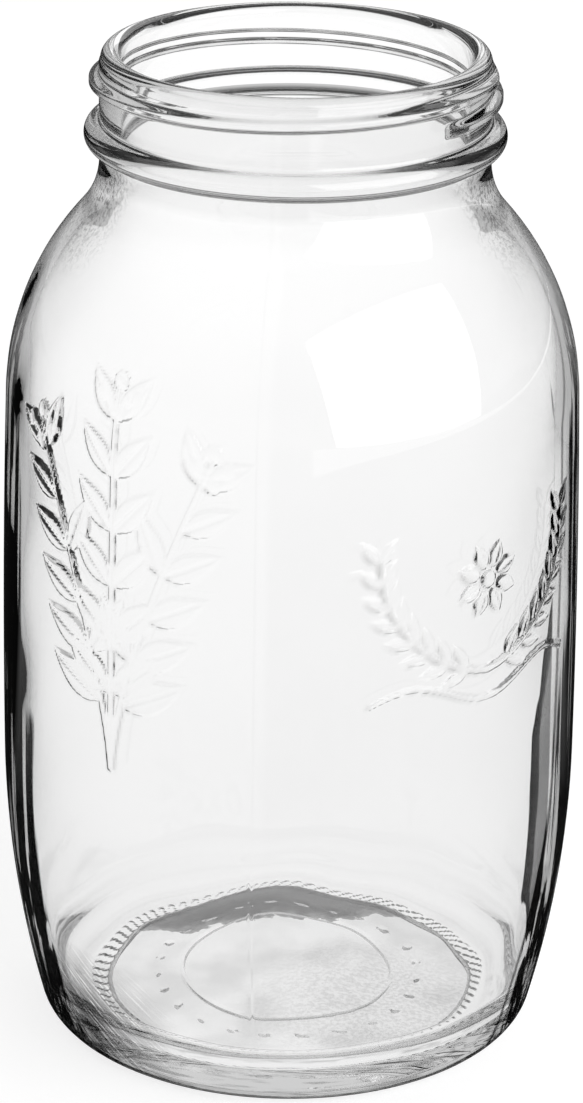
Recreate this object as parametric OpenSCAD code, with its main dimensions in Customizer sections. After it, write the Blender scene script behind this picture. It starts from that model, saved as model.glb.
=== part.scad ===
// Clear glass preserving jar with a wide screw-thread mouth.
// One moulding: push-up base, barrelled body, round shoulder, transfer bead, thread and rolled lip.
// Millimetres, +Z up, origin at the centre of the ring that the jar stands on.

/* [Body] */
// Height from the standing ring to the top of the lip
jar_h = 210; // [198:1:224]
// Widest diameter of the body
body_d = 120; // [112:1:128]
// Height of the widest point
widest_z = 61; // [54:1:70]
// Radius of the curve that draws the body in towards the heel
belly_r = 225; // [180:5:280]
// Radius of the almost straight side above the widest point
side_r = 2250; // [1400:50:4000]
// Radius of the corner between the side and the standing ring
heel_r = 6.5; // [4:0.5:9]
// Thickness of the side wall
wall_t = 3.5; // [2.5:0.1:4.2]

/* [Shoulder] */
// Radius of the round shoulder
shoulder_r = 58.2; // [55:0.2:60]
// Distance from the top of the lip down to the centre of the shoulder's curve
shoulder_drop = 72.5; // [70:0.5:75]
// Radius of the hollow where the shoulder turns up into the neck
neck_root_r = 17.5; // [14:0.5:18]
// Radius of the same turn on the inside
throat_r = 15; // [12:0.5:20]

/* [Mouth] */
// Diameter of the bore through the neck
bore_d = 70; // [67:0.2:72]
// Outside diameter of the neck below the thread
neck_d = 78.6; // [77:0.2:80]
// Outside diameter of the lip above the thread
lip_d = 78; // [76.6:0.2:79]

/* [Transfer bead] */
// Diameter over the bead
bead_d = 84.8; // [83:0.2:86.4]
// Radius of the bead's section
bead_r = 2.7; // [2.4:0.1:3.6]
// Radius of the hollow on either side of the bead
bead_root_r = 1; // [0.6:0.1:1.6]
// Distance from the top of the lip down to the middle of the bead
bead_drop = 17; // [16:0.1:17.6]

/* [Thread] */
// Diameter over the thread
thread_d = 82.6; // [81:0.2:84]
// Height that the thread climbs in one turn
thread_pitch = 5.2; // [4.6:0.1:5.6]
// Width of the ridge at its root, which is less than the climb so that its turns stay apart
thread_w = 3.2; // [2.6:0.1:4]
// Distance from the top of the lip down to the middle of the ridge, at angle 0
thread_drop = 8.8; // [8.4:0.1:9.4]
// Angle where the ridge begins, measured from +X
thread_start = -43; // [-60:1:-30]
// Turns from the beginning of the ridge to its end
thread_turns = 1.13; // [1:0.01:1.25]
// Angle over which the ridge rises at its lower end
run_in = 8; // [6:1:20]
// Angle over which the ridge fades at its upper end
run_out = 22; // [12:1:40]

/* [Base] */
// Thickness of the glass at the middle of the base
base_t = 6; // [4.5:0.5:8]
// Height of the push-up at the middle of the base
push_up_h = 3.5; // [2.5:0.1:5]
// Inner diameter of the standing ring
ring_d = 79; // [74:0.5:84]
// Radius of the ring's inner edge
ring_edge_r = 1.5; // [1:0.1:2]
// Radius of the corner inside, between the floor and the side
floor_corner_r = 11; // [8:0.5:14]
// Thickness of the glass over the standing ring
ring_t = 7; // [5.5:0.5:9]

/* [Hidden] */

// Lines in one arc of the profile
large_arc_n = 18;
small_arc_n = 10;
axis_r = 0;

// The heights that the upper features hang from
shoulder_z = jar_h - shoulder_drop;
bead_z = jar_h - bead_drop;
thread_z = jar_h - thread_drop;

body_r = body_d / 2;
bore_r = bore_d / 2;
neck_r = neck_d / 2;
lip_r = lip_d / 2;
ring_r = ring_d / 2;

// The lip is a half circle over the wall, so its radius is half the wall there
lip_round_r = (lip_r - bore_r) / 2;
lip_c = [bore_r + lip_round_r, jar_h - lip_round_r];
// Height of the step from the neck's diameter to the lip's
lip_step_h = 1;

// Centres of the body's two long curves, which share a vertical tangent at the widest point
belly_c = [body_r - belly_r, widest_z];
side_c = [body_r - side_r, widest_z];

// Distance along r from a curve's centre, for a point at a distance and a height from it
function leg(distance, height) = sqrt(distance * distance - height * height);

// Centres of the arcs that touch two neighbours
shoulder_c = [side_c.x + leg(side_r - shoulder_r, shoulder_z - widest_z), shoulder_z];
neck_root_c = root_centre(shoulder_c, shoulder_r, neck_r, neck_root_r);
throat_c = root_centre(shoulder_c, shoulder_r - wall_t, bore_r, throat_r);
heel_c = [belly_c.x + leg(belly_r - heel_r, widest_z - heel_r), heel_r];
floor_corner_z = ring_t + floor_corner_r;
floor_corner_c = [
    belly_c.x + leg(belly_r - wall_t - floor_corner_r, widest_z - floor_corner_z),
    floor_corner_z
];
bead_c = [bead_d / 2 - bead_r, bead_z];
bead_low_c = [neck_r + bead_root_r, bead_z - bead_root_rise()];
bead_high_c = [neck_r + bead_root_r, bead_z + bead_root_rise()];

// The push-up is part of a sphere that starts at the ring's inner edge
push_up_r = dome_radius(ring_r - ring_edge_r, push_up_h - ring_edge_r);
push_up_c = [axis_r, push_up_h - push_up_r];
push_up_a = acos((ring_r - ring_edge_r) / push_up_r);

// The floor is a flatter dome over it
floor_h = push_up_h + base_t - ring_t;
floor_r = dome_radius(floor_corner_c.x, floor_h);
floor_c = [axis_r, push_up_h + base_t - floor_r];
floor_a = acos(floor_corner_c.x / floor_r);

// Radius of a dome from the radius of its foot and its height
function dome_radius(foot, rise) = (foot * foot + rise * rise) / (2 * rise);

// Centre of a hollow that touches an arc from outside and a vertical wall
function root_centre(c, r, wall_r, root_r) =
    [wall_r + root_r, c.y + leg(r + root_r, wall_r + root_r - c.x)];

// Height from the bead's middle to the centre of the hollow beside it
function bead_root_rise() = leg(bead_r + bead_root_r, neck_r + bead_root_r - bead_c.x);

// Direction from one centre to another, in degrees
function bearing(from, to) = atan2(to.y - from.y, to.x - from.x);

// Points on an arc about c, from angle a0 to angle a1
function arc(c, r, a0, a1, n) =
    [for (i = [0:n]) let (a = a0 + (a1 - a0) * i / n) c + r * [cos(a), sin(a)]];

// Angle at which the side becomes the shoulder
shoulder_foot_a = bearing(side_c, shoulder_c);

// Outside of the glass, from the middle of the push-up to the top of the lip
outside = concat(
    arc(push_up_c, push_up_r, 90, push_up_a, large_arc_n),
    arc([ring_r, ring_edge_r], ring_edge_r, 180, 270, small_arc_n),
    arc(heel_c, heel_r, -90, bearing(belly_c, heel_c), small_arc_n),
    arc(belly_c, belly_r, bearing(belly_c, heel_c), 0, large_arc_n),
    arc(side_c, side_r, 0, shoulder_foot_a, large_arc_n),
    arc(shoulder_c, shoulder_r, shoulder_foot_a, bearing(shoulder_c, neck_root_c), large_arc_n),
    arc(neck_root_c, neck_root_r, 180 + bearing(shoulder_c, neck_root_c), 180, small_arc_n),
    arc(bead_low_c, bead_root_r, 180, 180 + bearing(bead_c, bead_low_c), small_arc_n),
    arc(bead_c, bead_r, bearing(bead_c, bead_low_c), bearing(bead_c, bead_high_c), large_arc_n),
    arc(bead_high_c, bead_root_r, 180 + bearing(bead_c, bead_high_c), 180, small_arc_n),
    [[neck_r, lip_c.y - lip_step_h]]
);

// The rolled lip, over the top and down to the bore
lip = arc(lip_c, lip_round_r, 0, 180, large_arc_n);

// Inside of the glass, from the bore down to the middle of the floor
inside = concat(
    arc(throat_c, throat_r, 180, 180 + bearing(shoulder_c, throat_c), small_arc_n),
    arc(shoulder_c, shoulder_r - wall_t, bearing(shoulder_c, throat_c), shoulder_foot_a, large_arc_n),
    arc(side_c, side_r - wall_t, shoulder_foot_a, 0, large_arc_n),
    arc(belly_c, belly_r - wall_t, 0, bearing(belly_c, floor_corner_c), large_arc_n),
    arc(floor_corner_c, floor_corner_r, bearing(belly_c, floor_corner_c), -90, small_arc_n),
    arc(floor_c, floor_r, floor_a, 90, large_arc_n)
);

// Section of the ridge, with x out from the neck and y up, as shares of its height and width
ridge_section = [[0, -0.5], [0.7, -0.34], [1, -0.14], [1, 0.14], [0.7, 0.34], [0, 0.5]];
// Depth to which the ridge is rooted in the neck
ridge_root = 0.8;
ridge_step_a = 6;
ridge_n = round(360 * thread_turns / ridge_step_a);
ridge_end = thread_start + 360 * thread_turns;

// How much of the ridge stands at angle a: it rises and fades on smooth curves
function stand(a) = ease(min(1, (a - thread_start) / run_in)) * ease(min(1, (ridge_end - a) / run_out));
function ease(u) = u * u * (3 - 2 * u);

// One ring of the ridge at angle a
function ridge_ring(a) =
    let (depth = (thread_d / 2 - neck_r) * stand(a) + ridge_root * (0.5 + 0.5 * stand(a)))
    let (base_r = neck_r - ridge_root)
    let (z = thread_z + thread_pitch * a / 360)
    [for (p = ridge_section)
        [(base_r + depth * p.x) * cos(a), (base_r + depth * p.x) * sin(a), z + thread_w * p.y]];

// The screw thread: one ridge that climbs anticlockwise
module thread_ridge() {
    m = len(ridge_section);
    rings = [
        for (i = [0:ridge_n])
            each ridge_ring(thread_start + (ridge_end - thread_start) * i / ridge_n)
    ];
    sides = [
        for (i = [0:ridge_n - 1], j = [0:m - 1])
            [i * m + j, i * m + (j + 1) % m, (i + 1) * m + (j + 1) % m, (i + 1) * m + j]
    ];
    start_cap = [for (j = [m - 1:-1:0]) j];
    end_cap = [for (j = [0:m - 1]) ridge_n * m + j];
    polyhedron(points = rings, faces = concat([start_cap, end_cap], sides), convexity = 6);
}

// The revolved glass, with its hollow inside
module glass_body() {
    rotate_extrude($fn = 144) polygon(concat(outside, lip, inside));
}

module jar() {
    color([0.86, 0.91, 0.9, 0.45]) {
        glass_body();
        thread_ridge();
    }
}

jar();
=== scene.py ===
# %% [markdown]
# # A clear glass preserving jar
#
# The object is one moulding of clear glass: a push-up base, a slightly barrelled body, a round
# shoulder, a bead round the neck, a screw thread and a rolled lip.
# The imported solid holds its sizes. This script replaces it by a finer skin of the same sizes, with the
# ornament, the marks of the mould, and clear glass with shade painted into its colour.
# Everything below is in one frame: +Z is up, the jar stands on z = 0, and its axis is the Z axis.

import bpy
import numpy as np
from mathutils import Matrix, Vector


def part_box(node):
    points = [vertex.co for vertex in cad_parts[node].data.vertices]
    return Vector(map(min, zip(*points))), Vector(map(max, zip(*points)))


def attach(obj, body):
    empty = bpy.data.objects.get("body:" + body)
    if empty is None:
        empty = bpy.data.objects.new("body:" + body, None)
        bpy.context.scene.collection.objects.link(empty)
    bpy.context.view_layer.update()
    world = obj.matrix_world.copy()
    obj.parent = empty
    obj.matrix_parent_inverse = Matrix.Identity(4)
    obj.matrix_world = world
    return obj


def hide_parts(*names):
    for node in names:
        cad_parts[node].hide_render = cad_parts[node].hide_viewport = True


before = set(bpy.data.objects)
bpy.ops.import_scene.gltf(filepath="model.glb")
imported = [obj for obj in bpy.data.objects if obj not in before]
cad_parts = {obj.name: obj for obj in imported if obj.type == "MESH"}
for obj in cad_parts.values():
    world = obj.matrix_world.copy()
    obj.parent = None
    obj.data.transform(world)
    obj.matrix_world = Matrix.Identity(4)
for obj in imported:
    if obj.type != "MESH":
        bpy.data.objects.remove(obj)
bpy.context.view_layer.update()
MM = 0.001
jar_lo, jar_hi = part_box("jar")
jar_h = (jar_hi[2] - jar_lo[2]) / MM
body_r = min(jar_hi[0], -jar_lo[0], jar_hi[1], -jar_lo[1]) / MM
print(f"jar: {jar_h:.1f} mm tall, {2 * body_r:.1f} mm across")

# %% [markdown]
# ## Camera
#
# The jar is seen from a little above the mouth, so the lip and the base both show as ellipses.
# A long lens from 0.9 m keeps the sides almost parallel.
# The camera leans by less than a degree, which lowers the right side of the base.

# %% Place the camera
camera_at = Vector((0.00016, -0.8007, 0.4218))
camera_pitch = np.radians(21.747)
camera_lean = 0.0119
camera_data = bpy.data.cameras.new("camera")
camera_data.sensor_width = 36.0
camera_data.lens = 135.22
camera = bpy.data.objects.new("camera", camera_data)
look = Vector((0.0, np.cos(camera_pitch), -np.sin(camera_pitch)))
level_right = Vector((1.0, 0.0, 0.0))
level_up = level_right.cross(look)
right = level_right * np.cos(camera_lean) + level_up * np.sin(camera_lean)
up = level_up * np.cos(camera_lean) - level_right * np.sin(camera_lean)
camera.matrix_world = Matrix((
    (right.x, up.x, -look.x, camera_at.x),
    (right.y, up.y, -look.y, camera_at.y),
    (right.z, up.z, -look.z, camera_at.z),
    (0.0, 0.0, 0.0, 1.0),
))
bpy.context.collection.objects.link(camera)
bpy.context.scene.camera = camera
bpy.context.scene.view_settings.view_transform = "Standard"
print(f"camera: {camera_data.lens} mm lens, {np.degrees(camera_pitch):.1f} degrees down")

# %% [markdown]
# ## The jar's section
#
# A jar is drawn as its designer draws it: half of its section, made of arcs that touch each other.
# Each arc has a centre, a radius and two angles, so a point on it is the centre plus the radius
# times the cosine and sine of its angle.
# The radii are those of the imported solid, in millimetres.

# %% Sizes of the section
widest_z = 61.0
belly_r = 225.0
side_r = 2250.0
heel_r = 6.5
wall_t = 3.5
shoulder_r = 58.2
shoulder_z = jar_h - 72.5
neck_root_r = 17.5
throat_r = 15.0
bore_r = 35.0
neck_r = 39.3
lip_r = 39.0
bead_out_r = 42.4
bead_r = 2.7
bead_root_r = 1.0
bead_z = jar_h - 17.0
base_t = 6.0
push_up_h = 3.5
ring_r = 39.5
ring_edge_r = 1.5
ring_t = 7.0
floor_corner_r = 11.0
print(f"wall {wall_t} mm, bore {2 * bore_r} mm, neck {2 * neck_r} mm, bead {2 * bead_out_r} mm")

# %% Arcs and their centres


def leg(distance, height):
    """How far a point lies sideways from a centre: the root of distance squared less height squared."""
    return np.sqrt(distance**2 - height**2)


def bearing(start, end):
    """The direction from one centre to another, in degrees."""
    return np.degrees(np.arctan2(end[1] - start[1], end[0] - start[0]))


def arc(centre, radius, start, end, step):
    """Points on an arc from angle start to angle end, about step millimetres apart:
    r = centre r + radius * cos(angle), z = centre z + radius * sin(angle)."""
    count = max(3, int(np.ceil(radius * abs(np.radians(end - start)) / step)) + 1)
    angle = np.radians(np.linspace(start, end, count))
    return np.column_stack((centre[0] + radius * np.cos(angle), centre[1] + radius * np.sin(angle)))


def root_centre(centre, radius, wall_r, hollow_r):
    """Centre of a hollow of radius hollow_r that touches an arc from outside and an upright wall."""
    return (wall_r + hollow_r, centre[1] + leg(radius + hollow_r, wall_r + hollow_r - centre[0]))


def dome(foot, rise, top):
    """Radius and centre of the sphere whose cap has a foot of this radius, this rise and this top."""
    radius = (foot**2 + rise**2) / (2 * rise)
    return radius, (0.0, top - radius)


belly_c = (body_r - belly_r, widest_z)
side_c = (body_r - side_r, widest_z)
shoulder_c = (side_c[0] + leg(side_r - shoulder_r, shoulder_z - widest_z), shoulder_z)
heel_c = (belly_c[0] + leg(belly_r - heel_r, widest_z - heel_r), heel_r)
neck_root_c = root_centre(shoulder_c, shoulder_r, neck_r, neck_root_r)
throat_c = root_centre(shoulder_c, shoulder_r - wall_t, bore_r, throat_r)
corner_z = ring_t + floor_corner_r
corner_c = (belly_c[0] + leg(belly_r - wall_t - floor_corner_r, widest_z - corner_z), corner_z)
bead_c = (bead_out_r - bead_r, bead_z)
bead_rise = leg(bead_r + bead_root_r, neck_r + bead_root_r - bead_c[0])
bead_low_c = (neck_r + bead_root_r, bead_z - bead_rise)
bead_high_c = (neck_r + bead_root_r, bead_z + bead_rise)
lip_round_r = (lip_r - bore_r) / 2
lip_c = (bore_r + lip_round_r, jar_h - lip_round_r)
push_up_r, push_up_c = dome(ring_r - ring_edge_r, push_up_h - ring_edge_r, push_up_h)
floor_r, floor_c = dome(corner_c[0], push_up_h + base_t - ring_t, push_up_h + base_t)
shoulder_foot = bearing(side_c, shoulder_c)
print(f"shoulder starts at z {shoulder_z:.1f}, bead at z {bead_z:.1f}, lip rounded to {lip_round_r:.2f} mm")

# %% [markdown]
# ## Ornament in relief
#
# The body carries raised ornament, pressed into the glass by the mould.
# On the left is a spray of leaves and berries, and on the right a flower between two branches.
# Separate bodies laid on the glass would give light extra skins to cross, so the ornament is a
# height on the one skin instead.
# Each motif is worked out in millimetres on the unrolled side: u runs round the jar and v runs up.

# %% Heights of leaves, berries and strokes


def ease(share):
    """A smooth step from 0 to 1: three times the square less twice the cube of a share held to 0..1."""
    share = np.clip(share, 0.0, 1.0)
    return share * share * (3.0 - 2.0 * share)


def leaf(u, v, foot, turn, length, width, height):
    """A pointed leaf. Along it, its half width is width * sin(pi * p^0.8). It is crowned, with an edge
    that falls over a millimetre and a groove down its middle."""
    along = (u - foot[0]) * np.cos(turn) + (v - foot[1]) * np.sin(turn)
    across = (v - foot[1]) * np.cos(turn) - (u - foot[0]) * np.sin(turn)
    share = np.clip(along / length, 0.0, 1.0)
    half = width * np.sin(np.pi * share**0.8)
    inside = np.where((along > 0) & (along < length), half - np.abs(across), -1.0)
    crown = 0.7 + 0.3 * (1.0 - (across / np.maximum(half, 0.1)) ** 2)
    vein = 0.5 * np.exp(-((across / 0.55) ** 2)) * ease(inside / 0.8)
    return height * ease(inside / 1.05) * np.clip(crown - vein, 0.0, 1.0)


def berry(u, v, middle, radius, height):
    """A round berry: height times the fourth root of one less the squared distance share."""
    share = ((u - middle[0]) ** 2 + (v - middle[1]) ** 2) / radius**2
    return height * np.clip(1.0 - share, 0.0, 1.0) ** 0.35


def stroke(u, v, path, half_widths, height):
    """A raised line along a path: the height falls off smoothly with the distance to the nearest
    point of the path, as a share of the half width there."""
    start, step = path[:-1], np.diff(path, axis=0)
    rel_u, rel_v = u[..., None] - start[:, 0], v[..., None] - start[:, 1]
    share = (rel_u * step[:, 0] + rel_v * step[:, 1]) / (step**2).sum(axis=1)
    share = np.clip(share, 0.0, 1.0)
    distance = np.hypot(rel_u - share * step[:, 0], rel_v - share * step[:, 1])
    half = half_widths[:-1] + share * np.diff(half_widths)
    return height * ease(1.2 * (1.0 - (distance / half).min(axis=-1)))


# %% Left motif: a spray of leaves and berries
spray_at = (-126.0, 118.0)
spray_half = (30.0, 45.0)
relief_h = 0.6


def stem_point(side, share):
    """A point of a stem that leaves the foot of the spray: u = 22 side s^1.4, v = 79 s - 11 s |side| - 43."""
    return np.stack((22.0 * side * share**1.4, (79.0 - 11.0 * abs(side)) * share - 43.0), axis=-1)


def spray(u, v):
    """Three stems that fan out from one foot, with leaves on both sides and berries at their tips."""
    height = np.zeros(u.shape)
    share = np.linspace(0.0, 1.0, 32)
    for side in (-1, 0, 1):
        stem = stem_point(side, share)
        height = np.maximum(height, stroke(u, v, stem, np.linspace(1.5, 0.9, 32), relief_h))
        for k, at in enumerate(np.linspace(0.2, 0.92, 6)):
            foot = stem_point(side, at)
            ahead = stem_point(side, at + 0.05) - foot
            heading = np.arctan2(ahead[1], ahead[0])
            size = 1.0 - 0.3 * at
            for hand in ((-1, 1) if side == 0 or k % 2 else (side,)):
                turn = heading - hand * np.radians(52.0 - 14.0 * at)
                grown = leaf(u, v, foot, turn, 18.0 * size, 4.1 * size, relief_h)
                height = np.maximum(height, grown)
        tip = stem_point(side, 1.0)
        for off in ((0.0, 1.5), (-3.6, -1.2), (3.6, -1.6), (0.2, -4.4)):
            height = np.maximum(height, berry(u, v, tip + off, 2.1, relief_h))
    return height


print(f"spray: {2 * spray_half[0]:.0f} x {2 * spray_half[1]:.0f} mm, {relief_h} mm high")

# %% Right motif: a flower between two branches
garland_at = (-49.0, 111.0)
garland_half = (28.5, 24.0)


def garland(u, v):
    """A flower of eight petals, and on each side a branch that rises from below it, with narrow
    slanting leaves in pairs. The branch is u = 25 sin(0.5 pi s), v = 27 s^1.6 - 15."""
    mirrored = np.abs(u)
    share = np.linspace(0.0, 1.0, 32)
    branch = np.column_stack((25.0 * np.sin(0.5 * np.pi * share), 27.0 * share**1.6 - 15.0))
    height = stroke(mirrored, v, branch, np.linspace(1.3, 0.8, 32), relief_h)
    for at in np.linspace(0.12, 0.98, 8):
        foot = np.array((25.0 * np.sin(0.5 * np.pi * at), 27.0 * at**1.6 - 15.0))
        heading = np.arctan2(43.2 * at**0.6, 12.5 * np.pi * np.cos(0.5 * np.pi * at))
        for hand in (-1, 1):
            turn = heading + hand * np.radians(38.0)
            height = np.maximum(height, leaf(mirrored, v, foot, turn, 8.5 - 1.5 * at, 1.75, relief_h))
    for k in range(8):
        turn = np.pi * (k + 0.5) / 4
        foot = 2.2 * np.array((np.cos(turn), np.sin(turn))) + (0.0, 4.0)
        height = np.maximum(height, leaf(u, v, foot, turn, 6.5, 2.3, relief_h))
    height = np.maximum(height, berry(u, v, (0.0, 4.0), 1.9, relief_h))
    swash = np.column_stack((27.0 * share, -18.5 - 2.5 * np.cos(1.5 * np.pi * share)))
    return np.maximum(height, stroke(mirrored, v, swash, np.linspace(1.2, 0.7, 32), 0.8 * relief_h))


print(f"garland: {2 * garland_half[0]:.0f} x {2 * garland_half[1]:.0f} mm, {relief_h} mm high")

# %% Relief on the body, and the seam of the mould


def body_relief(angle, r, z):
    """Height of the ornament at an angle round the jar and a height: each motif is drawn in a window
    of the unrolled side, with u the arc length from the motif's middle."""
    height = np.zeros(np.broadcast(angle, z).shape)
    for draw, (mid_angle, mid_z), (half_u, half_v) in (
        (spray, spray_at, spray_half), (garland, garland_at, garland_half)
    ):
        u = body_r * np.radians(angle - mid_angle) + 0.0 * z
        v = z - mid_z + 0.0 * angle
        window = (np.abs(u) < half_u + 3.0) & (np.abs(v) < half_v + 6.0)
        height[window] = np.maximum(height[window], draw(u[window], v[window]))
    return height + seam(angle, r, z)


seam_angles = (-97.0, 83.0)


def seam(angle, r, z):
    """The fine ridge where the mould's halves meet: a bell curve 0.05 mm high and 0.4 mm wide, which
    fades out before it reaches the table."""
    off = np.min([np.abs(angle - at) for at in seam_angles], axis=0)
    return 0.05 * np.exp(-((np.radians(off) * r / 0.4) ** 2)) * ease((z - 2.0) / 4.0)


# %% [markdown]
# ## Screw thread
#
# The thread is one ridge that climbs anticlockwise from a blunt start at the right of the front,
# goes a little more than once round the neck and fades out above its own start.
# A ridge this low never overhangs, so it too is a height on the surface, and no edge has to be joined.

# %% Height of the thread
thread_out = 2.0
thread_pitch = 5.2
thread_half = 1.7
thread_z = jar_h - 8.8
thread_turns = 1.13
thread_start = -43.0
thread_end = thread_start + 360.0 * thread_turns
run_in, run_out = 8.0, 22.0
print(f"thread: {thread_turns} turns, {thread_pitch} mm climb, {2 * (neck_r + thread_out):.1f} mm over it")


def thread(angle, r, z):
    """Ridge of the screw: its middle is at thread_z + pitch * angle / 360, and its height falls off
    smoothly with the distance from it, as a share of half its width. It rises at one end and fades
    at the other."""
    height = np.zeros(np.broadcast(angle, z).shape)
    for turn in (angle, angle + 360.0):
        middle = thread_z + thread_pitch * turn / 360.0
        share = np.abs(z - middle) / thread_half
        stands = ease((turn - thread_start) / run_in) * ease((thread_end - turn) / run_out)
        height = np.maximum(height, thread_out * stands * ease(1.4 * (1.0 - share)))
    return height + seam(angle, r, z)


# %% [markdown]
# ## Standing ring and push-up
#
# The ring that the jar stands on is knurled with short slanting grooves, which let the hot glass
# grip the conveyor. They are cut up into the ring, so nothing reaches below the table.
# Under the push-up are a plain raised ring and a circle of dots, as moulds often carry there.

# %% Heights under the base
tick_count = 88
tick_r, tick_half, tick_depth = 40.4, 1.9, 0.28
base_ring_r, base_ring_half = 23.0, 0.9
dot_r, dot_count = 29.0, 24
print(f"{tick_count} grooves in the ring, {dot_count} dots under the push-up")


def knurl(angle, r, z):
    """Slanting grooves round the ring: depth times a raised cosine of the angle, which is carried
    round a little with r, inside a window across the ring."""
    across = 1.0 - ease(np.abs(r - tick_r) / tick_half * 1.6 - 0.6)
    wave = np.cos(np.radians(angle) * tick_count + 1.4 * (r - tick_r))
    return -tick_depth * across * ease(0.5 + 0.9 * wave)


def base_marks(angle, r, z):
    """A raised ring and a circle of dots under the push-up, each a smooth bump of its distance share."""
    ring = 0.35 * ease(1.0 - np.abs(r - base_ring_r) / base_ring_half)
    spacing = 360.0 / dot_count
    along = np.radians((angle % spacing) - spacing / 2) * r
    dots = 0.35 * ease(1.4 - np.hypot(along, r - dot_r) / 0.9)
    return np.maximum(ring + 0.0 * angle, dots)


def plain(angle, r, z):
    """A surface with only the mould's seam on it."""
    return seam(angle, r, z)


def waves(angle, r, z):
    """The inner skin is drawn by air and not by a mould, so the wall's thickness wanders by some tenths
    of a millimetre: a sum of slow waves in the angle and the height, held still at the axis and the bore."""
    turn = np.radians(angle)
    swell = 0.22 * np.sin(2 * turn + 0.021 * z + 0.6) + 0.16 * np.sin(5 * turn - 0.034 * z + 1.9)
    ripple = 0.07 * np.sin(9 * turn + 0.11 * z) + 0.05 * np.sin(14 * turn - 0.19 * z + 0.8)
    held = ease((r - 18.0) / 22.0) * ease((178.0 - z) / 20.0)
    return (swell + ripple) * held


# %% [markdown]
# ## Bands and columns
#
# One grid over the whole jar would be too coarse for the ornament or too heavy elsewhere.
# So the section is cut into bands, and each band is a grid with as many columns as its detail needs.
# Where two bands meet, their rings have different numbers of points and are zipped together.

# %% Columns round the jar


def around(step, *fine):
    """Angles from -180 to 180 degrees, about step apart, with finer ones in each zone (low, high, step)."""
    angles = np.arange(-180.0, 180.0 - step / 2, 360.0 / round(360.0 / step))
    for low, high, fine_step in fine:
        angles = angles[(angles < low - fine_step / 2) | (angles > high + fine_step / 2)]
        zone = np.linspace(low, high, int(round((high - low) / fine_step)) + 1)
        angles = np.sort(np.concatenate((angles, zone)))
    return angles


seam_zones = [(at - 0.8, at + 0.8, 0.2) for at in seam_angles]


def motif_zone(at, half, step):
    """The stretch of angles that a motif covers, with its spacing in degrees."""
    reach = np.degrees((half[0] + 1.0) / body_r)
    return (at[0] - reach, at[0] + reach, step)


relief_step = 0.52
spray_zone = motif_zone(spray_at, spray_half, np.degrees(relief_step / body_r))
garland_zone = motif_zone(garland_at, garland_half, np.degrees(relief_step / body_r))
spray_columns = around(4.0, spray_zone, *seam_zones)
ornament_columns = around(4.0, spray_zone, garland_zone, *seam_zones)
print(f"{len(ornament_columns)} columns round the ornament")

# %% The bands, from the middle of the base over the lip to the middle of the floor


def between(points, low, high):
    """The rows of a curve whose heights lie in a range."""
    return points[(points[:, 1] >= low) & (points[:, 1] < high)]


spray_low, spray_high = spray_at[1] - spray_half[1] - 1.0, spray_at[1] + spray_half[1] + 1.0
garland_low, garland_high = garland_at[1] - garland_half[1] - 1.0, garland_at[1] + garland_half[1] + 1.0
side_fine = arc(side_c, side_r, 0.0, shoulder_foot, relief_step)
shoulder_top = bearing(shoulder_c, neck_root_c)
shoulder_fine = arc(shoulder_c, shoulder_r, shoulder_foot, shoulder_top, relief_step)
body_fine = np.vstack((side_fine, shoulder_fine[1:]))
push_up_foot = np.degrees(np.arccos((ring_r - ring_edge_r) / push_up_r))
push_up = arc(push_up_c, push_up_r, 90.0, push_up_foot, 0.75)
ring_edge = arc((ring_r, ring_edge_r), ring_edge_r, 180.0, 270.0, 0.4)
ring_flat = np.array([[r, 0.0] for r in np.arange(ring_r + 0.6, heel_c[0] - 0.3, 0.6)])
neck_low = arc(neck_root_c, neck_root_r, 180.0 + shoulder_top, 180.0, 0.9)
bead = np.vstack((
    arc(bead_low_c, bead_root_r, 180.0, 180.0 + bearing(bead_c, bead_low_c), 0.28),
    arc(bead_c, bead_r, bearing(bead_c, bead_low_c), bearing(bead_c, bead_high_c), 0.32)[1:],
    arc(bead_high_c, bead_root_r, 180.0 + bearing(bead_c, bead_high_c), 180.0, 0.28)[1:],
))
thread_top = lip_c[1] - 0.6
neck_wall = np.array([[neck_r, z] for z in np.arange(bead[-1, 1] + 0.25, thread_top, 0.25)])
lip = arc(lip_c, lip_round_r, 0.0, 180.0, 0.35)
bore = np.array([[bore_r, z] for z in np.arange(lip_c[1] - 2.0, throat_c[1], -2.5)])
throat_foot = bearing(shoulder_c, throat_c)
inside = np.vstack((
    bore,
    arc(throat_c, throat_r, 180.0, 180.0 + throat_foot, 1.2),
    arc(shoulder_c, shoulder_r - wall_t, throat_foot, shoulder_foot, 3.0)[1:],
    arc(side_c, side_r - wall_t, shoulder_foot, 0.0, 4.0)[1:],
    arc(belly_c, belly_r - wall_t, 0.0, bearing(belly_c, corner_c), 3.5)[1:],
    arc(corner_c, floor_corner_r, bearing(belly_c, corner_c), -90.0, 1.3)[1:],
    arc(floor_c, floor_r, np.degrees(np.arccos(corner_c[0] / floor_r)), 90.0, 2.5)[1:],
))
belly = arc(belly_c, belly_r, bearing(belly_c, heel_c), 0.0, 4.0)
body_low = np.vstack((belly[1:], between(body_fine, widest_z + 2.0, spray_low - 2.0)[::6]))
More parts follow.
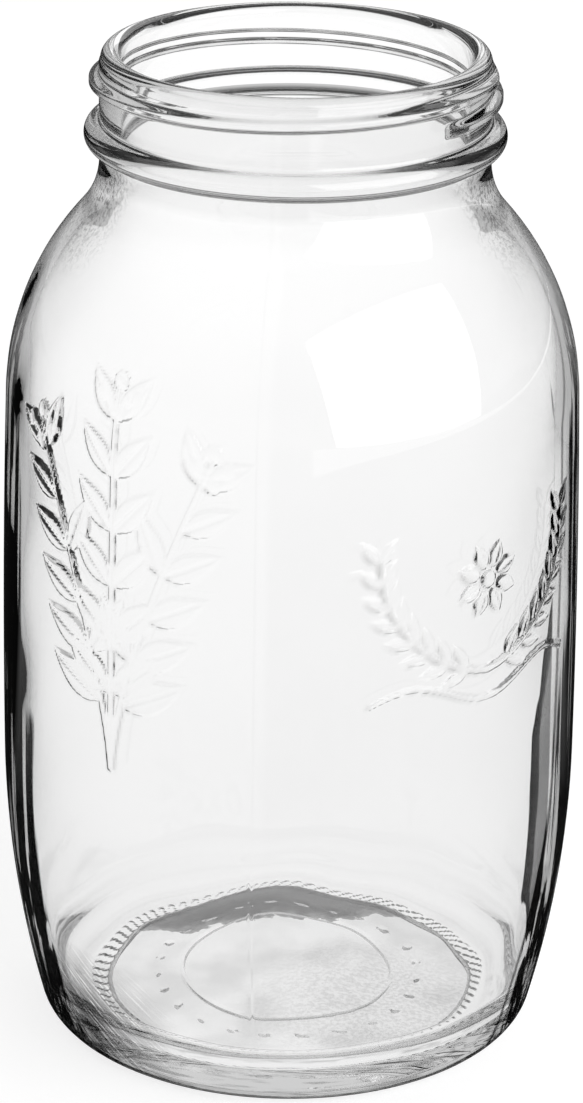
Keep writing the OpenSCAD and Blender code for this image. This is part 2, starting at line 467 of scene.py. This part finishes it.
bands = [
    (push_up[1:], around(2.4), base_marks),
    (np.vstack((ring_edge, ring_flat)), around(360.0 / (5 * tick_count)), knurl),
    (arc(heel_c, heel_r, -90.0, bearing(belly_c, heel_c), 0.9), around(2.5, *seam_zones), plain),
    (body_low, around(2.5, *seam_zones), plain),
    (between(body_fine, spray_low, garland_low), spray_columns, body_relief),
    (between(body_fine, garland_low, garland_high), ornament_columns, body_relief),
    (between(body_fine, garland_high, spray_high), spray_columns, body_relief),
    (between(body_fine, spray_high + 1.5, 999)[::5], around(2.5, *seam_zones), plain),
    (np.vstack((neck_low, bead)), around(2.5, *seam_zones), plain),
    (neck_wall, around(1.8, *seam_zones), thread),
    (lip, around(2.5), lambda angle, r, z: 0.0 * angle + 0.0 * z),
    (inside[:-1], around(4.0), waves),
]
print(len(bands), "bands with", [len(rows) for rows, _, _ in bands], "rows")

# %% Helpers for the skin


def normals_of(rows):
    """Unit normals of a section, to the right of its direction of travel: (dz, -dr) over its length."""
    tangent = np.gradient(rows, axis=0)
    tangent /= np.linalg.norm(tangent, axis=1)[:, None]
    return np.column_stack((tangent[:, 1], -tangent[:, 0]))


def grid_quads(first, rows, columns):
    """Faces of a grid that closes on itself: each joins a point, its neighbour and the two above them."""
    ring = np.arange(columns)
    beside = (ring + 1) % columns
    base = first + columns * np.arange(rows - 1)[:, None]
    above = base + columns
    return np.stack((base + ring, base + beside, above + beside, above + ring), axis=-1).reshape(-1, 4)


def zip_rings(low_first, low_angles, high_first, high_angles):
    """Triangles between two rings with different numbers of points: each edge of one ring goes to the
    point of the other ring that lies opposite the edge's middle."""
    low_n, high_n = len(low_angles), len(high_angles)
    low_next, high_next = (np.arange(low_n) + 1) % low_n, (np.arange(high_n) + 1) % high_n
    low_mid = (low_angles + np.append(low_angles[1:], low_angles[0] + 360.0)) / 2
    high_mid = (high_angles + np.append(high_angles[1:], high_angles[0] + 360.0)) / 2
    over = np.searchsorted(high_mid, low_mid, side="left") % high_n
    under = np.searchsorted(low_mid, high_mid, side="right") % low_n
    up = np.column_stack((low_first + np.arange(low_n), low_first + low_next, high_first + over))
    down = np.column_stack((high_first + np.arange(high_n), low_first + under, high_first + high_next))
    return np.vstack((up, down))


def turned(out_r, out_z, angles):
    """Carries a section's r and z to x, y and z at each angle round the jar."""
    turn = np.radians(angles)[None, :]
    return np.stack((out_r * np.cos(turn), out_r * np.sin(turn), out_z + 0.0 * turn), axis=-1).reshape(-1, 3)


def skin_normals(rows, angles, normal, relief):
    """Normals of a raised surface: the section's normal, less the slope of the height along the section
    times the tangent, less its slope round the jar times the direction round the jar."""
    small = 0.18
    r, z = rows[:, :1], rows[:, 1:]
    along_r, along_z = -normal[:, 1], normal[:, 0]
    a = angles[None, :]
    step = np.degrees(small / np.maximum(r, 1.0))
    ahead, behind = (relief(a, r + off * along_r, z + off * along_z) for off in (small, -small))
    up_slope = (ahead - behind) / (2 * small)
    round_slope = (relief(a + step, r, z) - relief(a - step, r, z)) / (2 * small)
    flat = turned(normal[:, 0] - up_slope * along_r, normal[:, 1] - up_slope * along_z, angles)
    turn = np.radians(angles)[None, :]
    beside = np.stack((np.sin(turn) * round_slope, -np.cos(turn) * round_slope, 0.0 * round_slope), axis=-1)
    total = flat + beside.reshape(-1, 3)
    return total / np.linalg.norm(total, axis=1)[:, None], (round_slope, up_slope + 0.0 * a)


def softened(values):
    """Each value of a grid averaged with its neighbours, with weights 1, 2, 1 along rows and columns."""
    rows = (values + np.vstack((values[:1], values[:-1])) / 2 + np.vstack((values[1:], values[-1:])) / 2) / 2
    return (rows + np.roll(rows, 1, axis=1) / 2 + np.roll(rows, -1, axis=1) / 2) / 2


# %% [markdown]
# Three masks go with the points, for the colour of the glass: the outer skin, and where shade is
# painted: on the flanks of the ornament that turn up and to the left, and on the back slope of the push-up.

# %% Masks on the skin
flank_from, flank_over = 0.35, 0.5
pool_from, pool_over, pool_turn = 13.0, 16.0, 8.0


def painted_flank_shade_mask(round_slope, up_slope):
    """Painted shade on the flanks that turn one way: the mean slope in two directions times 1.4, eased in
    from flank_from.
    """
    return softened(ease((0.7 * (round_slope + up_slope) - flank_from) / flank_over))


def push_up_shade_mask(angles, r):
    """Painted shade on the back slope of the push-up: the distance behind the axis, eased in, and out again
    at the ring.
    """
    behind = r * np.sin(np.radians(angles - pool_turn)) - pool_from
    return ease(behind / pool_over) * ease((ring_r - r) / 2.0)


# %% Carry every band round the jar
section = np.vstack([rows for rows, _, _ in bands])
section_normals = normals_of(section)
points, normals = [np.array([[0.0, 0.0, push_up_h]])], [np.array([[0.0, 0.0, -1.0]])]
outer, flank, pool = [np.ones(1)], [np.zeros(1)], [np.zeros(1)]
firsts, row = [], 0
for rows, angles, relief in bands:
    normal = section_normals[row:row + len(rows), :, None]
    r, z = rows[:, :1], rows[:, 1:]
    height = relief(angles[None, :], r, z)
    firsts.append(sum(len(part) for part in points))
    points.append(turned(r + height * normal[:, 0], z + height * normal[:, 1], angles))
    skin, slopes = skin_normals(rows, angles, normal, relief)
    normals.append(skin)
    outer.append(np.full(height.size, float(relief is not waves)))
    flank.append((painted_flank_shade_mask(*slopes) * (relief is body_relief)).ravel())
    pool.append((push_up_shade_mask(angles, r) * (relief is base_marks)).ravel())
    row += len(rows)
last = sum(len(part) for part in points)
points = np.vstack((*points, [[0.0, 0.0, push_up_h + base_t]]))
normals = np.vstack((*normals, [[0.0, 0.0, 1.0]]))
outer, flank, pool = (np.concatenate((*mask, [0.0])) for mask in (outer, flank, pool))

# %% Zip the bands into one closed skin
ring = np.arange(len(bands[0][1]))
quads, triangles = [], [np.column_stack((1 + ring, 0 * ring, 1 + (ring + 1) % len(ring)))]
for index, (rows, angles, _) in enumerate(bands):
    quads.append(grid_quads(firsts[index], len(rows), len(angles)))
    if index > 0:
        below = bands[index - 1][1]
        triangles.append(zip_rings(firsts[index] - len(below), below, firsts[index], angles))
ring = np.arange(len(angles))
top = last - len(ring)
triangles.append(np.column_stack((top + ring, top + (ring + 1) % len(ring), 0 * ring + last)))
quads, triangles = np.vstack(quads), np.vstack(triangles)
print(f"{len(points)} points, {2 * len(quads) + len(triangles)} triangles")

# %% Put the skin into a mesh


def closed_mesh(name, points, normals, quads, triangles):
    """A smooth mesh in metres, filled from whole arrays."""
    mesh = bpy.data.meshes.new(name)
    corners = np.concatenate((quads.ravel(), triangles.ravel())).astype(np.int32)
    sizes = np.concatenate((np.full(len(quads), 4), np.full(len(triangles), 3))).astype(np.int32)
    starts = np.concatenate(([0], np.cumsum(sizes)[:-1])).astype(np.int32)
    mesh.vertices.add(len(points))
    mesh.vertices.foreach_set("co", (points * MM).astype(np.float32).ravel())
    mesh.loops.add(len(corners))
    mesh.loops.foreach_set("vertex_index", corners)
    mesh.polygons.add(len(sizes))
    mesh.polygons.foreach_set("loop_start", starts)
    mesh.polygons.foreach_set("use_smooth", np.ones(len(sizes), dtype=bool))
    mesh.update(calc_edges=True)
    mesh.validate()
    mesh.normals_split_custom_set_from_vertices(normals)
    return mesh


jar = bpy.data.objects.new("glass_jar", closed_mesh("glass_jar", points, normals, quads, triangles))
bpy.context.collection.objects.link(jar)
for name, mask in (("outer", outer), ("flank", flank), ("pool", pool)):
    jar.data.attributes.new(name, "FLOAT", "POINT").data.foreach_set("value", mask.astype(np.float32))
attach(jar, "root")
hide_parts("jar")
print(f"glass_jar: {len(jar.data.polygons)} faces")

# %% [markdown]
# ## Shader sums
#
# Shader maths reads best as Python sums.
# A small class wraps a socket, and its operators add Math nodes.

# %% A wrapped socket


class Wire:
    """A value in a node tree. Sums with numbers or other wires add Math nodes."""

    def __init__(self, tree, socket=None):
        self.tree, self.socket = tree, socket

    def node(self, kind, settings=None, output=0, **sockets):
        """Adds a node: its settings first, then the values or links of its sockets, by name or by index."""
        made = self.tree.nodes.new(kind)
        for key, value in (settings or {}).items():
            if key == "stops":
                while len(made.color_ramp.elements) < len(value):
                    made.color_ramp.elements.new(0.5)
                for element, (position, grey) in zip(made.color_ramp.elements, value):
                    element.position, element.color = position, (grey, grey, grey, 1.0)
            else:
                setattr(made, key, value)
        for key, value in sockets.items():
            name = key.replace("_", " ")
            socket = made.inputs[int(name[1:])] if name[1:].isdigit() else made.inputs[name]
            if isinstance(value, Wire):
                self.tree.links.new(value.socket, socket)
            else:
                socket.default_value = value
        return Wire(self.tree, made.outputs[output] if len(made.outputs) else None)

    def _sum(self, operation, a, b):
        return self.node("ShaderNodeMath", {"operation": operation}, i0=a, i1=b)

    def __add__(self, other):
        return self._sum("ADD", self, other)

    def __sub__(self, other):
        return self._sum("SUBTRACT", self, other)

    def __rsub__(self, other):
        return self._sum("SUBTRACT", other, self)

    def __mul__(self, other):
        return self._sum("MULTIPLY", self, other)

    __radd__ = __add__
    __rmul__ = __mul__


# %% Helpers for curves, coordinates and noise


def new_material(name):
    """An empty node material and a wire to start from."""
    material = bpy.data.materials.new(name)
    material.use_nodes = True
    material.node_tree.nodes.clear()
    return material, Wire(material.node_tree)


def held(value):
    """The value held to 0..1."""
    return value.node("ShaderNodeClamp", Value=value)


def curve(value, *stops):
    """A curve through pairs of a value and a height: a colour ramp, after the stretch from the first
    value to the last is carried to 0..1. Outside the stretch the height stays level."""
    low, span = stops[0][0], stops[-1][0] - stops[0][0]
    scaled = tuple(((at - low) / span, height) for at, height in stops)
    return value.node("ShaderNodeValToRGB", {"stops": scaled}, Fac=(value - low) * (1.0 / span))


def apart(vector):
    """The x, y and z of a vector."""
    split = vector.node("ShaderNodeSeparateXYZ", Vector=vector)
    return [Wire(vector.tree, split.socket.node.outputs[axis]) for axis in "XYZ"]


def length(vector):
    """The length of a vector."""
    return vector.node("ShaderNodeVectorMath", {"operation": "LENGTH"}, output="Value", i0=vector)


def bearing_of(x, y):
    """The angle round the jar in radians, from 0 at the front, positive to the right: arctan2(x, -y)."""
    return x.node("ShaderNodeMath", {"operation": "ARCTAN2"}, i0=x, i1=y * -1.0)


def drawn_noise(place, round_scale, up_scale):
    """Noise stretched along the height, as glass is drawn: a Mapping node scales the place first."""
    scale = (round_scale, round_scale, up_scale)
    along = place.node("ShaderNodeMapping", Vector=place, Scale=scale)
    return place.node("ShaderNodeTexNoise", output="Fac", Vector=along, Scale=1.0, Detail=2.0, Roughness=0.55)


def flat_noise(across, along):
    """Noise over two numbers, such as an angle and a height, each already at its own scale."""
    spot = across.node("ShaderNodeCombineXYZ", X=across, Y=along)
    return across.node("ShaderNodeTexNoise", output="Fac", Vector=spot, Scale=1.0, Detail=3.0)


print("helpers made")

# %% [markdown]
# ## Clear glass
#
# Soda-lime glass bends light by an index of 1.5, and a thin wall of it is clear.
# Towards the jar's outline, light runs a long way inside the wall, so the outline shows as a black
# band with fine bright slits in it.
# Refraction alone gives a band that is too even, because the real wall was drawn and is uneven.
# So the band is also painted into the colour of the glass, as shade that falls off with the angle of
# view, and stretched noise makes the band wander. The slits fade out towards the front, because from
# above they would cross it all.
# Under the bead the glass keeps fine pits from the mould.
# Each mask below is 0 where the glass is clear and 1 where it is dark.

# %% What the glass is worked out from
glass, wire = new_material("clear_glass")
facing = wire.node("ShaderNodeLayerWeight", output="Facing", Blend=0.5)
outer, flank, pool = (
    wire.node("ShaderNodeAttribute", {"attribute_name": name}, output="Fac")
    for name in ("outer", "flank", "pool")
)
place = wire.node("ShaderNodeTexCoord", output="Object")
x, y, z = apart(place)
turn = bearing_of(x, y)
far_out = length(wire.node("ShaderNodeCombineXYZ", X=x, Y=y))
streaks = drawn_noise(place, 200.0, 22.0)
drift = drawn_noise(place, 26.0, 12.0)
fibres = drawn_noise(place, 420.0, 10.0)
grain = drawn_noise(place, 1100.0, 1100.0)
right_side = curve(turn, (-0.02, 0.0), (0.02, 1.0))
high = curve(z, (0.076, 0.0), (0.096, 1.0))

# %% Black outline, painted as shade into the glass colour
edge = facing + (streaks - 0.5) * 0.16 + (drift - 0.5) * 0.08 - high * 0.05 - right_side * 0.03
edge = edge + (0.035 - high * 0.02) * (1.0 - right_side)
off_front = curve(turn, (-1.0, 1.0), (-0.6, 0.15), (0.6, 0.15), (1.0, 1.0))
slits = off_front * curve(fibres, (0.54, 0.0), (0.57, 1.0))
# The band of painted shade, broken by the bright slits.
painted_band = curve(edge, (0.655, 0.0), (0.68, 1.0)) * (1.0 - slits * 0.9)
# A thin line of painted shade just inside the outline, used on the right.
line = curve(facing + (drift - 0.5) * 0.05, (0.665, 0.0), (0.675, 0.7), (0.685, 0.7), (0.695, 0.0))
upright = outer * curve(z, (0.0, 0.5), (0.006, 1.0), (0.14, 1.0), (0.172, 0.0))

# %% Speckled painted shade under the bead
painted_bead_shade = outer * curve(z, (0.168, 0.0), (0.182, 1.0), (0.188, 1.0), (0.191, 0.0))
painted_bead_shade = painted_bead_shade * curve(facing, (0.42, 0.0), (0.6, 1.0)) * curve(grain, (0.5, 0.0), (0.58, 0.5))

# %% [markdown]
# Low on the right, a grey wedge of painted shade lies beside the outline.
# Its inner edge is ragged and black, and it narrows to nothing 106 mm up.
# It is a stretch of angles round the jar, and it shows only where the wall is seen at a slant.

# %% Painted wedge of shade low on the right
tall = curve(z, (0.02, 0.0), (0.04, 1.0), (0.076, 0.9), (0.106, 0.0))
inside_wedge = 1.105 - turn + (drift - 0.5) * 0.05
ragged = tall * 0.15 + (streaks - 0.5) * 0.10 - inside_wedge
painted_wedge = curve(ragged, (0.0, 0.0), (0.005, 0.95), (0.04, 0.9), (0.055, 0.66))
painted_wedge = painted_wedge * curve(inside_wedge, (0.0, 0.0), (0.01, 1.0))
slant = curve(facing, (0.38, 0.0), (0.44, 1.0), (0.68, 1.0), (0.7, 0.0))
# All of the outline's painted shade on the upright walls: the band, and on the right the thin line and the
# painted wedge.
outline = upright * held(painted_band + right_side * (line + painted_wedge * slant))

# %% [markdown]
# Fine dark hoops are drawn round the front of the heel.
# On its left, slanting streaks of painted shade darken it where it is seen at a slant.
# Under the push-up the glass is smudged, and darker in one stippled grey patch at the front right.
# Painted shade darkens the back slope of the push-up, with a ragged edge, as if it mirrored the dark room.

# %% Hoops, and streaks of painted shade, on the heel
front = curve(turn, (-1.8, 0.0), (-1.53, 1.0), (1.53, 1.0), (1.8, 0.0))
on_heel = outer * front * curve(far_out, (0.044, 0.0), (0.047, 1.0))
hoop_noise = flat_noise(turn * 2.4, z * 450.0)
hoops = curve(hoop_noise, (0.36, 0.35), (0.44, 0.0), (0.55, 0.0), (0.62, 0.35))
hoops = on_heel * hoops * curve(z, (0.0, 1.0), (0.0075, 1.0), (0.015, 0.0))
score_noise = flat_noise(turn * 60.0 + z * 1400.0, z * 160.0)
heel_streak_shade = curve(score_noise, (0.3, 0.92), (0.44, 0.88), (0.55, 0.7), (0.62, 0.25), (0.67, 0.0))
heel_streak_reach = curve(turn, (-1.52, 0.4), (-1.28, 1.0), (-0.8, 1.0), (-0.4, 0.0))
heel_streak_reach = heel_streak_reach * curve(facing, (0.2, 0.0), (0.36, 1.0)) * curve(z, (0.0, 1.0), (0.014, 1.0), (0.03, 0.0))
heel_streak_shade = on_heel * heel_streak_reach * heel_streak_shade

# %% Marks under the base
under = outer * curve(z, (0.004, 1.0), (0.006, 0.0)) * curve(far_out, (0.038, 1.0), (0.041, 0.0))
smudges = under * curve(drawn_noise(place, 55.0, 55.0), (0.36, 0.2), (0.5, 0.06), (0.6, 0.0))
from_grey_patch = length(wire.node("ShaderNodeCombineXYZ", X=x - 0.021, Y=y + 0.017))
grey_patch = under * curve(from_grey_patch, (0.012, 0.26), (0.034, 0.0)) * curve(grain, (0.4, 1.0), (0.6, 0.4))
ripples = drawn_noise(place, 120.0, 120.0)
crumbs = drawn_noise(place, 420.0, 420.0)
# Painted shade on the back slope of the push-up, with a ragged edge.
ragged_push_up_shade = pool + (ripples - 0.5) * 0.9 + (crumbs - 0.5) * 0.5
painted_push_up_shade = curve(ragged_push_up_shade, (0.42, 0.0), (0.46, 0.6), (0.8, 0.82))

# %% Make the glass
# Painted shade slightly greys the front of the jar from 187 mm up.
neck = outer * front * curve(z, (0.185, 0.0), (0.187, 1.0))
kept = (1.0 - outline) * (1.0 - hoops) * (1.0 - heel_streak_shade) * (1.0 - smudges) * (1.0 - painted_push_up_shade)
# Here painted shade on the flanks of the ornament, under the bead and high on the front darkens the glass
# too.
kept = kept * (1.0 - grey_patch) * (1.0 - painted_bead_shade) * (1.0 - flank * 0.6) * (1.0 - neck * 0.08)
shell = wire.node(
    "ShaderNodeBsdfPrincipled",
    Base_Color=kept * kept + 0.0001, Roughness=0.0, IOR=1.5, Transmission_Weight=1.0,
)
wire.node("ShaderNodeOutputMaterial", Surface=shell)
jar.data.materials.append(glass)
print(f"clear_glass: {len(glass.node_tree.nodes)} nodes")

# %% [markdown]
# ## Stage
#
# A pale floor keeps the jar's soft shadow, and behind it all is white.
# Glass shows what stands round it, so its look is made by the room as much as by its own colour.
# The floor is white to rays that pass straight through the jar, but for a painted shadow that greys it
# near the jar. The room above is darker, and draws the lip, the thread and the bead as dark lines.
# Rays that were mirrored inside the wall come from all over a real room, which is mostly dim, so the
# floor and the room darken for them. Light Path counts those mirrorings as Glossy Depth.
# To rays that the outer skin mirrors, the floor is black but for a few cards painted into its light,
# so the outlines stay dark.

# %% What kind of ray meets the room


def ray_kinds(wire):
    """Masks for rays that come through the glass and for rays that its outer skin mirrors, the count
    of mirrorings inside the wall, and how bright the room is to them: 1, then 0.7, then 0."""
    rays = wire.node("ShaderNodeLightPath").socket.node.outputs
    through = Wire(wire.tree, rays["Is Transmission Ray"])
    mirrored = Wire(wire.tree, rays["Is Glossy Ray"]) * (1.0 - through)
    bounced = Wire(wire.tree, rays["Glossy Depth"])
    straight = held(1.0 - bounced * 0.3 - held(bounced - 1.0) * 0.4)
    return Wire(wire.tree, rays["Is Camera Ray"]), through, mirrored, bounced, straight


def painted_left_card(turn):
    """A white card painted into the light of the floor and the room left of the jar, seen only as a
    reflection in the glass: a stretch of angles.
    """
    return curve(turn, (-2.01, 0.0), (-1.76, 1.0), (-0.163, 1.0), (-0.119, 0.0))


def painted_back_cards(turn):
    """Two narrow cards painted into the floor's light behind the jar, left and right, seen only as
    reflections, which brighten the glass beside its outline.
    """
    left = curve(turn, (-2.22, 0.0), (-2.14, 0.6), (-2.0, 0.6), (-1.8, 0.0))
    return left + curve(turn, (1.8, 0.0), (2.0, 0.6), (2.24, 0.6), (2.36, 0.0))


# %% Floor mesh
floor_half = 3.0
corners = [(-1, -1), (1, -1), (1, 1), (-1, 1)]
floor_mesh = bpy.data.meshes.new("floor")
floor_mesh.from_pydata([(floor_half * a, floor_half * b, 0.0) for a, b in corners], [], [(0, 1, 2, 3)])
floor = bpy.data.objects.new("floor", floor_mesh)
bpy.context.collection.objects.link(floor)
floor.location.z = -0.0002

# %% Floor paint
floor_paint, wire = new_material("floor")
_, through, mirrored, _, straight = ray_kinds(wire)
lit = wire.node("ShaderNodeBsdfDiffuse", Color=(0.35, 0.35, 0.35, 1.0))
glow = wire.node("ShaderNodeEmission", Strength=0.78)
shown = wire.node("ShaderNodeAddShader", i0=lit, i1=glow)
place = wire.node("ShaderNodeTexCoord", output="Object")
away = length(place)
x, y, _ = apart(place)
turn = bearing_of(x, y)
# Seen through the glass, the floor is greyed near the jar by a painted shadow.
pale = curve(away, (0.0, 0.95), (0.035, 0.93), (0.055, 0.9), (0.16, 0.92), (0.42, 1.0))
near = curve(away, (0.0, 1.0), (0.06, 0.9), (0.13, 0.0))
open_to = near + (1.0 - near) * straight
# A card painted into the floor's light on the right, seen only as a reflection in the glass.
painted_right_card = curve(turn, (0.12, 0.0), (0.15, 1.0)) * curve(away - turn * 1.1, (0.42, 0.0), (0.5, 1.0))
painted_far_cards = (painted_left_card(turn) + painted_back_cards(turn)) * curve(away, (0.14, 0.0), (0.3, 0.6))
# The floor's light for mirrored rays: black but for the painted cards.
cards = painted_far_cards + painted_right_card * 0.9 + 0.008
in_glass = wire.node("ShaderNodeEmission", Strength=through * pale * open_to * 1.04 + mirrored * cards)
paint = wire.node("ShaderNodeMixShader", Fac=held(through + mirrored), i1=shown, i2=in_glass)
wire.node("ShaderNodeOutputMaterial", Surface=paint)
floor_mesh.materials.append(floor_paint)
print("floor made")

# %% Room
world = bpy.data.worlds.new("studio")
world.use_nodes = True
world.node_tree.nodes.clear()
bpy.context.scene.world = world
wire = Wire(world.node_tree)
seen, through, mirrored, bounced, straight = ray_kinds(wire)
x, y, height = apart(wire.node("ShaderNodeTexCoord", output="Generated"))
dim = curve(height, (0.0, 0.7), (0.22, 0.12), (0.5, 0.05), (0.75, 0.6), (1.0, 0.8))
once = held(bounced) - held(bounced - 1.0)
often = held(bounced - 2.0) * curve(height, (0.0, 0.1), (0.2, 0.25), (0.4, 0.8), (1.0, 0.9))
above = curve(height, (0.0, 0.1), (0.3, 0.25), (0.7, 0.7), (1.0, 0.8)) + painted_left_card(bearing_of(x, y)) * 0.5
other = (1.0 - seen) * (1.0 - through) * (1.0 - mirrored)
strength = seen + through * (dim * straight + often + once * 0.6) + mirrored * above + other * 0.5
sky = wire.node("ShaderNodeBackground", Strength=strength)
wire.node("ShaderNodeOutputWorld", Surface=sky)
print("room made")

# %% [markdown]
# ## Lamps
#
# A large softbox on the right makes the four-sided highlight on the shoulder, and a smaller one
# behind lights the floor. Rays that pass through the glass don't see them, so they stay off the
# far wall. Glass passes light on many times, so the paths are allowed forty bounces.

# %% Softboxes


def softbox(name, bearing_deg, height, width, tall, radiance, distance=1.0):
    """A wide lamp that faces the jar. Its power is radiance * pi * area."""
    lamp = bpy.data.lights.new(name, "AREA")
    lamp.shape, lamp.size, lamp.size_y = "RECTANGLE", width, tall
    lamp.energy = radiance * np.pi * width * tall
    bearing_rad = np.radians(bearing_deg)
    at = Vector((distance * np.sin(bearing_rad), -distance * np.cos(bearing_rad), height))
    holder = bpy.data.objects.new(name, lamp)
    holder.location = at
    holder.rotation_euler = (at - Vector((0.0, 0.0, 0.12))).to_track_quat("Z", "Y").to_euler()
    bpy.context.collection.objects.link(holder)
    holder.visible_camera = False
    holder.visible_transmission = False


softbox("key", 47.0, 0.55, 1.4, 1.0, 2.5)
softbox("back", 165.0, 0.8, 0.8, 0.8, 1.2)
for kind in ("max_bounces", "transmission_bounces", "glossy_bounces"):
    setattr(bpy.context.scene.cycles, kind, 40)
print("lamps made")
